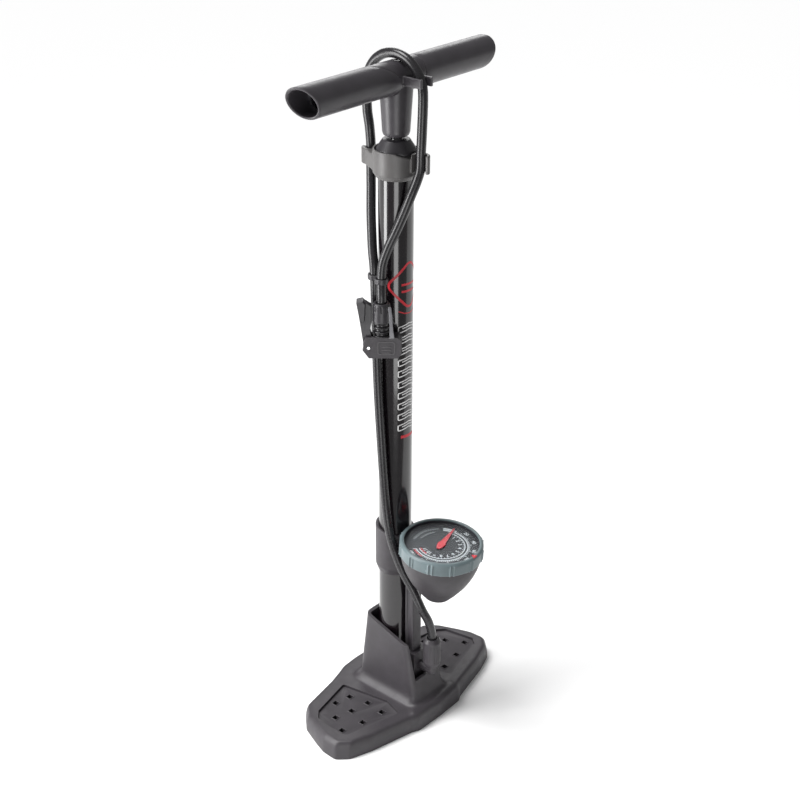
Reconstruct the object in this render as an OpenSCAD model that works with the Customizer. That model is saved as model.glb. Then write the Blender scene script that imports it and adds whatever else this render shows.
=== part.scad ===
// Floor bike pump: moulded base, steel barrel, T handle, top-facing gauge and a hose with a lever head.
// Millimetres, +Z up. The origin is on the floor, on the axis of the barrel.
// The handle lies along X, the gauge and the hose outlet face -Y.

/* [Barrel] */
// Outer radius of the barrel tube
barrel_r = 17; // [15:0.5:18]
// Wall thickness of the barrel tube
barrel_wall = 1.4; // [1:0.1:2]
// Height of the lower end of the barrel
barrel_z0 = 14; // [12:1:16]
// Height of the upper end of the barrel
barrel_z1 = 612; // [600:1:620]

/* [Base] */
// Height of the tread deck
deck_z = 20; // [18:1:22]
// Thickness of the moulded walls
base_wall = 3.6; // [3:0.2:4.4]
// Height of the throat rim behind the barrel
throat_z = 108; // [100:1:112]
// Side of the square drain holes in the tread pads
pad_hole = 5.4; // [4:0.2:6]

/* [Gauge] */
// Outer radius of the bezel
bezel_r = 43; // [41:0.5:43.5]
// Height of the bezel
bezel_h = 14; // [12:0.5:15]
// Distance of the gauge axis in front of the barrel axis
gauge_y = 62.8; // [62.5:0.1:64]
// Height of the rim of the gauge
gauge_z = 222; // [218:1:226]
// Lean of the dial towards the user, in degrees
gauge_tilt = 4; // [3:1:5]

/* [Handle] */
// Height of the middle of the handle when it is pushed right down
handle_z = 689; // [687:0.5:691]
// Outer radius of the grips
grip_r = 15.5; // [15:0.1:16]
// Half length of the handle
handle_half = 122; // [110:1:130]
// Radius of the piston rod
rod_r = 5; // [4.5:0.5:5]

/* [Hose] */
// Outer radius of the hose
hose_r = 4.7; // [4.2:0.1:4.8]

/* [Pump head] */
// Turn of the head about Z, in degrees
head_turn = -49.4; // [-52:0.2:-47]
// Radius of the valve port
port_r = 4.1; // [4:0.05:4.3]
// Depth of the valve port in front of the gasket
port_depth = 10; // [9:0.5:11]

/* [Hidden] */
$fn = 64;
plastic = "#4a484c";
dark_plastic = "#3a383c";
steel = "#b9bcc0";
brass = "#c2a45c";
bore_r = barrel_r - barrel_wall;

// ---- Shared geometry -------------------------------------------------------------------------------

function unit(v) = v / norm(v);

// The corner b of the path a, b, c as an arc of radius r in n steps.
function arc_corner(a, b, c, r, n) =
    let (u = unit(a - b), v = unit(c - b), half = acos(u * v) / 2)
    let (centre = b + unit(u + v) * r / sin(half))
    let (p0 = b + u * r / tan(half) - centre, p1 = b + v * r / tan(half) - centre)
    let (a0 = atan2(p0.y, p0.x), turn = ((atan2(p1.y, p1.x) - a0 + 540) % 360) - 180)
    [for (i = [0:n]) centre + r * [cos(a0 + turn * i / n), sin(a0 + turn * i / n)]];

// A closed outline with every corner rounded.
function rounded(pts, r, n = 4) =
    let (m = len(pts))
    [for (i = [0:m - 1]) each arc_corner(pts[(i + m - 1) % m], pts[i], pts[(i + 1) % m], r, n)];

// The outline of half a shape, joined to its mirror image across X = 0.
function mirrored(half) =
    concat(half, [for (i = [len(half) - 1:-1:0]) if (half[i].x > 0.01) [-half[i].x, half[i].y]]);

function rect(x, y0, y1) = [[x, y0], [x, y1], [-x, y1], [-x, y0]];

// A flat slice of a rounded rectangle, used as a rib of a hull.
module slice(x, y0, y1, z, r) {
    translate([0, 0, z]) linear_extrude(0.5) polygon(rounded(rect(x, y0, y1), r));
}

// Half of space whose inner face goes through p, with its outward normal at azimuth az and elevation el.
module cutter(p, az, el) {
    translate(p) rotate([0, -el, az]) translate([0, -90, -90]) cube([180, 180, 180]);
}

// Tube between two radii, from height z0 to z1.
module ring(r_out, r_in, z0, z1) {
    translate([0, 0, z0]) difference() {
        cylinder(r = r_out, h = z1 - z0);
        translate([0, 0, -1]) cylinder(r = r_in, h = z1 - z0 + 2);
    }
}

// ---- Base ------------------------------------------------------------------------------------------

deck_half = [[0, -65], [34, -64], [41, -60], [92, -48], [117, -39], [127.5, -28], [126.5, -10], [121, 6],
    [112, 28], [100, 41], [52, 50], [34, 55], [22, 59], [0, 60]];
deck_outline = rounded(mirrored(deck_half), 3);
pad_outline = rounded([[47, 34], [98, 23], [107, 15], [113, -20], [106, -28], [44, -44], [37, -21]], 3);
pad_z = deck_z - 4.4;
socket_r = barrel_r + 6;
block_half = 10;
block_top = 72;
outlet_z = 55;
air_y = -25.5;
air_r = 2.5;
screw_spots = [[-11, 8], [11, 8], [-11, -8], [11, -8]];
pad_hole_spots = [[103, -16], [92, 3.5], [79, -23.5], [72.5, -2], [74, 20], [53, -27.5], [51, -6], [56, 16]];

// Children as they are on the +X side, or mirrored to the -X side.
module on_side(side) {
    mirror([side < 0 ? 1 : 0, 0, 0]) children();
}

// Side walls of the throat, grown inwards or outwards by g.
module throat_body(g) {
    hull() {
        slice(29 + g, -52 - g, 38 + g, deck_z - 2, 10);
        slice(25 + g, -49 - g, 31 + g, deck_z + 9, 9);
        slice(20.5 + g, -29 - g, 24 + g, throat_z + 6, 8);
    }
}

// What the sloping rim of the throat and its open front take away; the opening is wider on the +X side.
module throat_cut() {
    translate([0, -10, 95]) rotate([17, 0, 0]) translate([-60, -80, 0]) cube([120, 160, 60]);
    translate([-18, -70, 46]) cube([36, 55, 80]);
    translate([0, -70, 56]) cube([60, 62, 80]);
}

module base() {
    color(plastic) difference() {
        union() {
            difference() {
                linear_extrude(deck_z) polygon(deck_outline);
                translate([0, 0, -1]) linear_extrude(deck_z - base_wall - 3)
                    polygon([for (p = deck_outline) [p.x * 0.955, -3 + (p.y + 3) * 0.92]]);
            }
            difference() {
                throat_body(0);
                throat_cut();
                difference() {
                    throat_body(-base_wall);
                    translate([-60, -80, 0]) cube([120, 160, deck_z + 4]);
                }
            }
            for (x = [-96, -64, -34, 34, 64, 96]) {
                translate([x - 1.2, -40, 1]) cube([2.4, 72, deck_z - 6]);
            }
            translate([-100, -1.2, 1]) cube([200, 2.4, deck_z - 6]);
            cylinder(r = socket_r, h = 46);
            translate([-block_half, -36, deck_z - 2]) cube([2 * block_half, 20, block_top - deck_z + 2]);
        }
        translate([0, 0, barrel_z0]) cylinder(r = barrel_r, h = 200);
        translate([0, 0, deck_z + 24]) cylinder(r = barrel_r + 1.2, h = 200);
        for (side = [-1, 1]) {
            translate([0, 0, pad_z]) on_side(side) linear_extrude(10) polygon(pad_outline);
        }
        for (p = screw_spots) {
            translate([p.x, p.y, -1]) cylinder(r = 2, h = 30);
            translate([p.x, p.y, -1]) cylinder(r = 4, h = 9);
        }
        translate([0, air_y, 21]) cylinder(r = air_r, h = 100);
        translate([0, 0, 21]) rotate([90, 0, 0]) cylinder(r = 2, h = -air_y);
        translate([0, air_y, outlet_z]) rotate([90, 0, 0]) cylinder(r = 5, h = 40);
        for (side = [-1, 1], p = pad_hole_spots) {
            translate([side * p.x - pad_hole / 2, p.y - pad_hole / 2, -1]) cube([pad_hole, pad_hole, 40]);
        }
    }
}

module foot_pad(side) {
    color(dark_plastic) on_side(side) difference() {
        translate([0, 0, pad_z]) linear_extrude(1.4) polygon(pad_outline);
        for (p = pad_hole_spots) {
            translate([p.x - pad_hole / 2, p.y - pad_hole / 2, 0]) cube([pad_hole, pad_hole, 40]);
        }
    }
}

module base_screws() {
    color(steel) for (p = screw_spots) {
        translate([p.x, p.y, 0]) difference() {
            union() {
                translate([0, 0, 5]) cylinder(r = 3.8, h = 3);
                translate([0, 0, 8]) cylinder(r = 2, h = 14);
            }
            translate([0, 0, 4]) cylinder(r = 1.6, h = 2.4, $fn = 6);
        }
    }
}

// ---- Barrel and valve ------------------------------------------------------------------------------

plug_top = 38;
chamber_r = 4;
ball_r = 3.2;
seat_r = 2.2;
seat_z = 35;
ball_gap = 0.05;
ball_z = seat_z - sqrt(ball_r * ball_r - seat_r * seat_r) - ball_gap;
chamber_z0 = 19;
groove_z = 29;

module barrel() {
    color("#141416") difference() {
        ring(barrel_r, bore_r, barrel_z0, barrel_z1);
        translate([0, -10, 21]) rotate([90, 0, 0]) cylinder(r = 2, h = 12);
    }
}

module barrel_plug() {
    color(dark_plastic) difference() {
        translate([0, 0, barrel_z0]) cylinder(r = bore_r, h = plug_top - barrel_z0);
        translate([0, 0, chamber_z0]) cylinder(r = chamber_r, h = seat_z - chamber_z0);
        cylinder(r = seat_r, h = plug_top + 1);
        translate([0, 0, 21]) rotate([90, 0, 0]) cylinder(r = 2, h = 20);
        ring(bore_r + 1, bore_r - 2, groove_z, groove_z + 3);
        for (p = screw_spots) {
            translate([p.x, p.y, 0]) cylinder(r = 2, h = 22);
        }
    }
}

module plug_seal() {
    color("#202020") ring(bore_r, bore_r - 2, groove_z, groove_z + 3);
}

module check_ball() {
    color(steel) translate([0, 0, ball_z]) sphere(r = ball_r);
}

spring_turns = 5;
spring_wire = 0.35;
spring_r = 2.9;
spring_z0 = chamber_z0 + spring_wire;
spring_z1 = ball_z - sqrt(ball_r * ball_r - spring_r * spring_r) - 2 * spring_wire;
spring_steps = 14 * spring_turns;

// Points of a helix of radius r that climbs from z0 to z1.
function helix(r, z0, z1, turns, n) =
    [for (i = [0:n]) [r * cos(360 * turns * i / n), r * sin(360 * turns * i / n), z0 + (z1 - z0) * i / n]];

module check_spring() {
    color(steel) sweep(helix(spring_r, spring_z0, spring_z1, spring_turns, spring_steps), spring_wire, 6);
}

// ---- Sweeping a round section along points ---------------------------------------------------------

function tangent(path, i) =
    unit(path[min(i + 1, len(path) - 1)] - path[max(i - 1, 0)]);

// Side vectors carried along the path without twist.
function sides(path, i = 0, prev = [1, 0, 0]) =
    i >= len(path) ? [] :
    let (t = tangent(path, i), s = unit(prev - t * (prev * t)))
    concat([s], sides(path, i + 1, s));

module sweep(path, r, n) {
    side = sides(path);
    last = len(path) - 1;
    points = [for (i = [0:last]) let (t = tangent(path, i), u = side[i], v = cross(t, u))
        for (k = [0:n - 1]) path[i] + r * (cos(360 * k / n) * u + sin(360 * k / n) * v)];
    walls = [for (i = [0:last - 1], k = [0:n - 1]) let (a = i * n + k, b = i * n + (k + 1) % n)
        each [[a, a + n, b], [b, a + n, b + n]]];
    caps = [for (k = [1:n - 2]) each [[0, k, k + 1], [last * n, last * n + k + 1, last * n + k]]];
    polyhedron(points, concat(walls, caps), convexity = 10);
}

// ---- Hose outlet -----------------------------------------------------------------------------------

outlet_y = -52;
elbow_r = 5;
nut_z0 = 62;
nut_z1 = 97;
hose_z0 = 76;

module outlet_elbow() {
    color("#5a585c") difference() {
        union() {
            translate([0, air_y - 3, outlet_z]) rotate([90, 0, 0]) cylinder(r = elbow_r, h = air_y - 3 - outlet_y);
            translate([0, outlet_y, outlet_z]) sphere(r = elbow_r);
            translate([0, outlet_y, outlet_z]) cylinder(r = elbow_r, h = nut_z0 + 3 - outlet_z);
            translate([0, outlet_y, nut_z0]) cylinder(r = 3, h = 12);
        }
        translate([0, air_y, outlet_z]) rotate([90, 0, 0]) cylinder(r = 2, h = air_y - outlet_y);
        translate([0, outlet_y, outlet_z]) cylinder(r = 2, h = 30);
    }
}

module hose_nut() {
    color("#6a686c") translate([0, outlet_y, 0]) difference() {
        union() {
            translate([0, 0, nut_z0]) cylinder(r1 = 8, r2 = 9.4, h = 5);
            translate([0, 0, nut_z0 + 5]) cylinder(r = 9.4, h = nut_z1 - nut_z0 - 9);
            translate([0, 0, nut_z1 - 4]) cylinder(r1 = 9.4, r2 = 7.2, h = 4);
        }
        translate([0, 0, nut_z0 - 1]) cylinder(r = elbow_r, h = 13);
        cylinder(r = hose_r + 0.6, h = 200);
        for (k = [0:11]) {
            rotate(30 * k) translate([9.9, 0, nut_z0 + 7]) cylinder(r = 1, h = nut_z1 - nut_z0 - 14);
        }
    }
}

// ---- Gauge -----------------------------------------------------------------------------------------

rim_r = 40.8;
rim_in = 39.2;
lens_z = -2.4;
dial_z = -5.4;
band_r = 20.5;
strut_half = 7;
strut_y0 = -31;
strut_y1 = -20;
pipe_z = 172;

module gauge_frame() {
    translate([0, -gauge_y, gauge_z]) rotate([gauge_tilt, 0, 0]) children();
}

bowl_outer = [[0, -73], [7, -72], [14, -68], [21.5, -59], [30, -47], [37, -33], [rim_r, -20],
    [rim_r, lens_z + 0.2]];
bowl_inner = [[rim_in, lens_z + 0.2], [rim_in, dial_z - 1], [36, dial_z - 1], [36, -20], [33, -34],
    [26.5, -47], [18.5, -57], [11, -65.5], [0, -68]];

module gauge_housing() {
    color(plastic) difference() {
        gauge_frame() rotate_extrude() polygon(concat(bowl_outer, bowl_inner));
        translate([0, 0, pipe_z]) rotate([90, 0, 0]) cylinder(r = air_r, h = gauge_y);
    }
}

module gauge_bracket() {
    color(plastic) difference() {
        union() {
            difference() {
                union() {
                    translate([0, 0, 172]) cylinder(r = band_r, h = 52);
                    translate([0, 0, 164]) cylinder(r1 = 17.6, r2 = band_r, h = 8);
                }
                translate([0, 0, 216]) rotate([11, 0, 0]) translate([-40, -60, 0]) cube([80, 120, 60]);
            }
            translate([-strut_half, strut_y0, block_top]) cube([2 * strut_half, strut_y1 - strut_y0, 130]);
            translate([-strut_half, strut_y1 - 4, 160]) cube([2 * strut_half, 8, 42]);
            translate([-strut_half, -gauge_y + 24, 160]) cube([2 * strut_half, gauge_y - 46, 30]);
        }
        cylinder(r = barrel_r, h = 300);
        gauge_frame() translate([0, 0, -bezel_h - 2]) cylinder(r = bezel_r + 2.2, h = 60);
        gauge_frame() rotate_extrude() polygon(concat(bowl_outer, [[0, lens_z]]));
        for (side = [-1, 1]) {
            translate([side * (strut_half + 0.6) - 2.2, -27.6, block_top - 1]) cube([4.4, 5.2, 84]);
        }
        translate([0, air_y, 0]) cylinder(r = air_r, h = pipe_z + air_r);
        translate([0, 0, pipe_z]) rotate([90, 0, 0]) cylinder(r = air_r, h = gauge_y);
    }
}

module gauge_pipe() {
    color(brass) difference() {
        union() {
            translate([0, air_y, 24]) cylinder(r = air_r, h = pipe_z - 24);
            translate([0, air_y, pipe_z]) sphere(r = air_r);
            translate([0, air_y, pipe_z]) rotate([90, 0, 0]) cylinder(r = air_r, h = gauge_y + air_y - 6);
        }
        translate([0, air_y, 20]) cylinder(r = 1.4, h = pipe_z - 20);
        translate([0, air_y, pipe_z]) rotate([90, 0, 0]) cylinder(r = 1.4, h = 60);
    }
}

plate_z = -14;
coil_r = 22;
coil_z = -26;
block_z1 = -25;

module bourdon_tube() {
    color(brass) difference() {
        bourdon_solid();
        translate([0, 0, pipe_z]) rotate([90, 0, 0]) cylinder(r = air_r, h = gauge_y - 6);
    }
}

// The socket block and the curved tube, before the supply pipe is let in.
module bourdon_solid() {
    gauge_frame() {
        translate([-6, -6, -62]) cube([12, 12, block_z1 + 62]);
        translate([-2, 4, block_z1 - 6]) cube([4, coil_r - 4, 5.4]);
        translate([0, 0, coil_z]) rotate(90) rotate_extrude(angle = -250) translate([coil_r, 0]) circle(r = 2.4);
    }
}

bridge_z = -21;
pinion_r = 1.2;
sector_x = 14;
sector_r = sector_x - pinion_r - 0.3;

module gauge_plate() {
    color(brass) gauge_frame() difference() {
        union() {
            translate([0, 0, plate_z]) cylinder(r = 31, h = 1.2);
            translate([-8, -9, bridge_z]) cube([26, 18, 1.2]);
            for (x = [-5, 17], y = [-7.5, 7.5]) {
                translate([x, y, bridge_z]) cylinder(r = 1.4, h = plate_z - bridge_z + 0.5);
            }
            translate([0, 0, block_z1]) cylinder(r = 4, h = bridge_z - block_z1 + 0.2);
        }
        for (x = [0, sector_x]) {
            translate([x, 0, bridge_z - 0.6]) cylinder(r = 1.05, h = 12);
        }
    }
}

module needle_shaft() {
    color(steel) gauge_frame() {
        translate([0, 0, bridge_z + 0.2]) cylinder(r = 1, h = dial_z + 1.3 - bridge_z);
        translate([0, 0, -19]) cylinder(r = pinion_r, h = 3);
    }
}

module sector_gear() {
    color(brass) gauge_frame() {
        translate([sector_x, 0, bridge_z + 0.2]) cylinder(r = 1, h = plate_z - bridge_z + 0.8);
        translate([sector_x, 0, -18.2]) linear_extrude(1.2) intersection() {
            circle(r = sector_r);
            polygon([[2.6, -1.8], [2.6, 1.8], [-20, 2], [-20, -11]]);
        }
    }
}

module gauge_needle() {
    color("#d8202c") gauge_frame() difference() {
        union() {
            translate([0, 0, dial_z + 0.9]) rotate(15) linear_extrude(0.6)
                polygon([[-9, 1.6], [-9, -1.6], [-4, -3.6], [3, -3], [32, -0.5], [32, 0.5], [3, 3], [-4, 3.6]]);
            translate([0, 0, dial_z + 0.9]) cylinder(r = 4.2, h = 0.8);
        }
        translate([0, 0, -10]) cylinder(r = 1, h = 20);
    }
}

module gauge_dial() {
    color("#1b1b1d") gauge_frame() difference() {
        translate([0, 0, dial_z - 1]) cylinder(r = rim_in, h = 1);
        translate([0, 0, dial_z - 2]) cylinder(r = 1.6, h = 4);
    }
}

module gauge_lens() {
    color("#dfe6ea", 0.4) gauge_frame() translate([0, 0, lens_z - 1]) cylinder(r = rim_in, h = 1.2);
}

// The bezel seen from above, with a groove down the middle of every rib.
module bezel_outline() {
    difference() {
        union() {
            circle(r = bezel_r);
            for (k = [0:11]) {
                rotate(30 * k + 24) translate([bezel_r - 2, -2.6]) square([3, 5.2]);
            }
        }
        for (k = [0:11]) {
            rotate(30 * k + 24) translate([bezel_r + 1.2, 0]) circle(r = 1.7);
        }
    }
}

module gauge_bezel() {
    color("#7c8c90") gauge_frame() difference() {
        union() {
            translate([0, 0, -bezel_h]) linear_extrude(bezel_h - 2) bezel_outline();
            translate([0, 0, -2]) cylinder(r = bezel_r - 0.4, h = 0.4);
            translate([0, 0, -1.6]) cylinder(r1 = bezel_r - 0.4, r2 = bezel_r - 1.8, h = 1.6);
        }
        translate([0, 0, -bezel_h - 1]) cylinder(r = rim_r + 0.4, h = bezel_h - 0.9);
        translate([0, 0, -4]) cylinder(r = rim_in - 0.6, h = 8);
        marker_shape();
    }
}

module marker_shape() {
    translate([0, 0, -1.2]) rotate(-87) linear_extrude(2)
        polygon([[37.4, 0], [41.8, 2.8], [41.8, -2.8]]);
}

module bezel_marker() {
    color("#d8202c") gauge_frame() intersection() {
        marker_shape();
        translate([0, 0, -4]) cylinder(r = 50, h = 4.4);
    }
}

// ---- Top cap ---------------------------------------------------------------------------------------

cap_z0 = 595;
cap_z1 = 622.5;
cap_r = 22;
neck_r = 17.8;
neck_z = 619;
claw_gap = 5.4;
claw_wall = 3.4;

// A claw round the hose at distance y behind the axis, open towards +X; h0 and h1 are its heights.
module claw(y, h0, h1) {
    translate([0, 0, h0]) linear_extrude(h1 - h0) difference() {
        union() {
            translate([0, y]) circle(r = claw_gap + claw_wall);
            polygon([[-claw_gap - claw_wall, y], [-cap_r + 1, 6], [0, 14], [4, y - 4]]);
        }
        circle(r = cap_r - 1);
        translate([0, y]) circle(r = claw_gap);
        translate([0, y - claw_gap]) square([20, 2 * claw_gap + 8]);
    }
}

module top_cap() {
    color("#6f6d6f") difference() {
        union() {
            difference() {
                union() {
                    translate([0, 0, cap_z0]) cylinder(r1 = 18.6, r2 = cap_r, h = 5);
                    translate([0, 0, cap_z0 + 5]) cylinder(r = cap_r, h = cap_z1 - cap_z0 - 5);
                    claw(31.5, cap_z0 + 7, cap_z1 - 5.5);
                }
                rotate(40) translate([0, 0, cap_z1 - 0.5]) rotate([22, 0, 0]) translate([-60, -80, 0])
                    cube([120, 80, 60]);
            }
            rotate(180) claw(29.5, cap_z0 + 9, cap_z1 - 1);
            translate([0, 0, cap_z0 + 5]) cylinder(r = neck_r, h = neck_z - cap_z0 - 5);
        }
        translate([0, 0, cap_z0 - 1]) cylinder(r = barrel_r, h = barrel_z1 + 4 - cap_z0);
        translate([0, 0, neck_z]) cylinder(r = cap_r - 1.6, h = 20);
        cylinder(r = rod_r + 1, h = 700);
    }
}

module gland_nut() {
    color(dark_plastic) difference() {
        intersection() {
            translate([0, 0, neck_z]) rotate_extrude()
                polygon([[0, 0], [19.6, 0], [19.6, 2], [13, 12], [9, 13], [0, 13]]);
            translate([0, 0, neck_z]) rotate(22.5) cylinder(r = 20.2, h = 14, $fn = 8);
        }
        cylinder(r = rod_r + 0.4, h = 700);
        translate([0, 0, neck_z - 1]) cylinder(r = 10, h = 5);
    }
}

module rod_bushing() {
    color("#d8d4c8") difference() {
        union() {
            translate([0, 0, bushing_z0]) cylinder(r = bore_r, h = barrel_z1 - bushing_z0);
            translate([0, 0, barrel_z1]) cylinder(r = barrel_r, h = 3);
        }
        cylinder(r = rod_r + 0.05, h = 700);
    }
}

// ---- Rod, piston and handle ------------------------------------------------------------------------

bushing_z0 = 585;
rod_z0 = 42;
rod_z1 = 676;
piston_z0 = 46;
piston_z1 = 62;
bumper_z1 = 84.5;
tube_r = 12.8;
bolt_recess = 2.5;
stem_z0 = 634;

module piston_rod() {
    color(steel) difference() {
        translate([0, 0, rod_z0]) cylinder(r = rod_r, h = rod_z1 - rod_z0);
        translate([0, 0, 650]) cylinder(r = 3, h = 40);
    }
}

module piston() {
    color(dark_plastic) difference() {
        translate([0, 0, piston_z0]) cylinder(r = bore_r - 0.35, h = piston_z1 - piston_z0);
        translate([0, 0, rod_z0]) cylinder(r = rod_r, h = 60);
        ring(bore_r + 1, bore_r - 3, piston_z0 + 5, piston_z0 + 10);
    }
}

module piston_seal() {
    color("#1c1c1c") ring(bore_r - 0.05, bore_r - 3, piston_z0 + 5, piston_z0 + 10);
}

module piston_nut() {
    color(steel) difference() {
        translate([0, 0, rod_z0 - 1]) cylinder(r = 8, h = 5, $fn = 6);
        translate([0, 0, rod_z0]) cylinder(r = rod_r, h = 60);
    }
}

module rebound_bumper() {
    color("#2a2a2a") ring(9, rod_r, piston_z1, bumper_z1);
}

// The slanted joint between the hub and the left grip.
left_joint_x = 28.5;
left_joint_az = 50;
left_joint_el = 19.5;
right_joint = 24;
end_az = 16.7;
end_el = 22;

module handle_hub() {
    color(plastic) difference() {
        union() {
            translate([0, 0, stem_z0]) rotate_extrude()
                polygon([[0, 0], [9.5, 0], [12, 1.4], [13, 4], [15.4, 42], [15.4, 56], [0, 56]]);
            translate([-50, 0, handle_z]) rotate([0, 90, 0]) cylinder(r = grip_r, h = 50 + right_joint);
            for (x = [-8.6, 5.6]) {
                translate([x, -36, handle_z - 4.5]) cube([3, 25, 8.5]);
            }
        }
        intersection() {
            translate([-60, 0, handle_z]) rotate([0, 90, 0]) cylinder(r = grip_r + 0.1, h = 80);
            left_side(0);
        }
        translate([-60, 0, handle_z]) rotate([0, 90, 0]) cylinder(r = tube_r, h = 120);
        translate([0, 0, stem_z0 - 1]) cylinder(r = rod_r, h = rod_z1 - stem_z0 + 1);
        translate([0, 0, handle_z]) cylinder(r = 3, h = 20);
        translate([0, 0, handle_z + grip_r - bolt_recess]) cylinder(r = 5.2, h = 20);
        translate([0, 0, 670]) cylinder(r = 3, h = 20);
    }
}

// Half of space on the left of the slanted joint, moved away from the hub by gap.
module left_side(gap) {
    mirror([1, 0, 0]) cutter([left_joint_x + gap, 0, handle_z], -left_joint_az, -left_joint_el);
}

module handle_tube() {
    color(steel) difference() {
        translate([-100, 0, handle_z]) rotate([0, 90, 0]) cylinder(r = tube_r, h = 200);
        translate([-101, 0, handle_z]) rotate([0, 90, 0]) cylinder(r = tube_r - 1.6, h = 202);
        translate([0, 0, handle_z - 20]) cylinder(r = 3.2, h = 40);
    }
}

module handle_bolt() {
    color(steel) difference() {
        union() {
            translate([0, 0, 655]) cylinder(r = 3, h = handle_z + grip_r - bolt_recess - 655);
            translate([0, 0, handle_z + grip_r - bolt_recess]) cylinder(r = 5, h = 2);
        }
        translate([0, 0, handle_z + grip_r - 1.6]) cylinder(r = 2.5, h = 6, $fn = 6);
    }
}

module grip_bar(x0, x1) {
    translate([x0, 0, handle_z]) rotate([0, 90, 0]) difference() {
        cylinder(r = grip_r, h = x1 - x0);
        translate([0, 0, -1]) cylinder(r = tube_r, h = x1 - x0 + 2);
    }
}

module grip_left() {
    color(plastic) difference() {
        intersection() {
            grip_bar(-140, -10);
            left_side(0.1);
        }
        mirror([1, 0, 0]) cutter([handle_half, 0, handle_z], -end_az, -end_el);
    }
}

module grip_right() {
    color(plastic) difference() {
        grip_bar(right_joint, 140);
        cutter([handle_half, 0, handle_z], end_az, -end_el);
    }
}

// ---- Hose ------------------------------------------------------------------------------------------

// The route of the hose from the outlet at the base, up the barrel, over the handle and back to the head.
hose_route = [
    [0, -52, 76], [0, -52.3, 96], [-4, -50.8, 117], [-9, -45, 134], [-12, -36, 154], [-17, -24.5, 178],
    [-20.5, -16.5, 201], [-23, -11.5, 225], [-23, -6.5, 258], [-23, -1, 324], [-22.2, 4.4, 396],
    [-21.8, 7.8, 496], [-18.5, 13.5, 525], [-10.5, 22, 555], [-3, 28.5, 580], [0, 31.3, 602],
    [0, 31.2, 619], [-1, 32, 637], [-1, 34.7, 653], [0, 35.7, 676], [0, 33.1, 688.9], [0, 25.8, 699.8],
    [0, 14.9, 707.1], [0, 2, 709.7], [0, -10.9, 707.1], [0, -21.8, 699.8], [0, -29.1, 688.9],
    [0, -31.7, 676], [0, -30.7, 640], [0, -29.8, 622], [-0.5, -29.7, 608], [-3.4, -28.2, 597],
    [-8, -24.9, 583], [-13, -19.6, 564], [-17.4, -14.6, 548], [-21.4, -9.6, 533.5], [-25, -5.4, 517],
    [-26, -4.4, 501], [-28.2, -6.3, 484], [-28.5, -6.7, 472]];

// A point on the smooth curve through four neighbouring route points.
function smooth_point(a, b, c, d, t) =
    0.5 * (2 * b + (c - a) * t + (2 * a - 5 * b + 4 * c - d) * t * t + (3 * b - a - 3 * c + d) * t * t * t);

function smooth(route, n) =
    let (m = len(route) - 1)
    concat([for (i = [0:m - 1], k = [0:n - 1])
        smooth_point(route[max(i - 1, 0)], route[i], route[i + 1], route[min(i + 2, m)], k / n)], [route[m]]);

module hose() {
    color("#1a1a1c") sweep(smooth(hose_route, 2), hose_r, 10);
}

// The clip that holds the two strands of the hose together above the head.
clip_z = 497;
clip_a = [-21.7, 8.2];
clip_b = [-26, -4.5];

module hose_clip() {
    color("#2c2c2e") difference() {
        union() {
            for (p = [clip_a, clip_b]) {
                translate([p.x, p.y, clip_z]) cylinder(r = hose_r + 1.8, h = 5);
            }
            translate([clip_b.x, clip_b.y, clip_z]) rotate(atan2(clip_a.y - clip_b.y, clip_a.x - clip_b.x))
                translate([3, -2, 0]) cube([norm(clip_a - clip_b) - 6, 4, 5]);
        }
        for (p = [clip_a, clip_b]) {
            translate([p.x, p.y, clip_z - 1]) cylinder(r = hose_r + 0.4, h = 8);
        }
        cylinder(r = barrel_r + 0.6, h = 800);
    }
}

// ---- Pump head -------------------------------------------------------------------------------------

head_at = [-28.5, -6.7, 0];
head_nut_z0 = 459.5;
head_nut_z1 = 478.5;
boot_z0 = 445;
body_z0 = 423;
body_z1 = 445;
port_z = 434;
port_x = 19.5;
gasket_x = 4;
gasket_r = 4.6;
pivot = [-12.5, 434];
cheek = 7.5;
slot_half = 4.2;
pin_r = 1.5;

module head_frame() {
    translate(head_at) rotate(head_turn) children();
}

// An outline drawn in the plane of the head's side plates, with the given half thickness.
module side_plate(half) {
    translate([0, half, 0]) rotate([90, 0, 0]) linear_extrude(2 * half) children();
}

module head_nut() {
    color("#2a292c") head_frame() difference() {
        union() {
            translate([0, 0, head_nut_z0]) cylinder(r = 8.6, h = head_nut_z1 - head_nut_z0 - 2.5);
            translate([0, 0, head_nut_z1 - 2.5]) cylinder(r1 = 8.6, r2 = 7.4, h = 2.5);
        }
        translate([0, 0, head_nut_z0 - 1]) cylinder(r = hose_r + 0.6, h = 40);
        for (k = [0:7]) {
            rotate(45 * k) translate([8.8, 0, head_nut_z1 - 8]) cylinder(r = 1, h = 20);
        }
    }
}

module head_boot() {
    color("#232225") head_frame() rotate_extrude() polygon(concat(
        [[0, boot_z0], [8.6, boot_z0], [8.6, boot_z0 + 0.9]],
        [for (k = [0:2]) each [[6.2, boot_z0 + 1.2 + 4.7 * k], [6.2, boot_z0 + 3.2 + 4.7 * k],
            [8, boot_z0 + 3.8 + 4.7 * k], [8, boot_z0 + 4.9 + 4.7 * k]]],
        [[7, head_nut_z0], [4.4, head_nut_z0], [4.4, head_nut_z0 + 8], [0, head_nut_z0 + 8]]));
}

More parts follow.
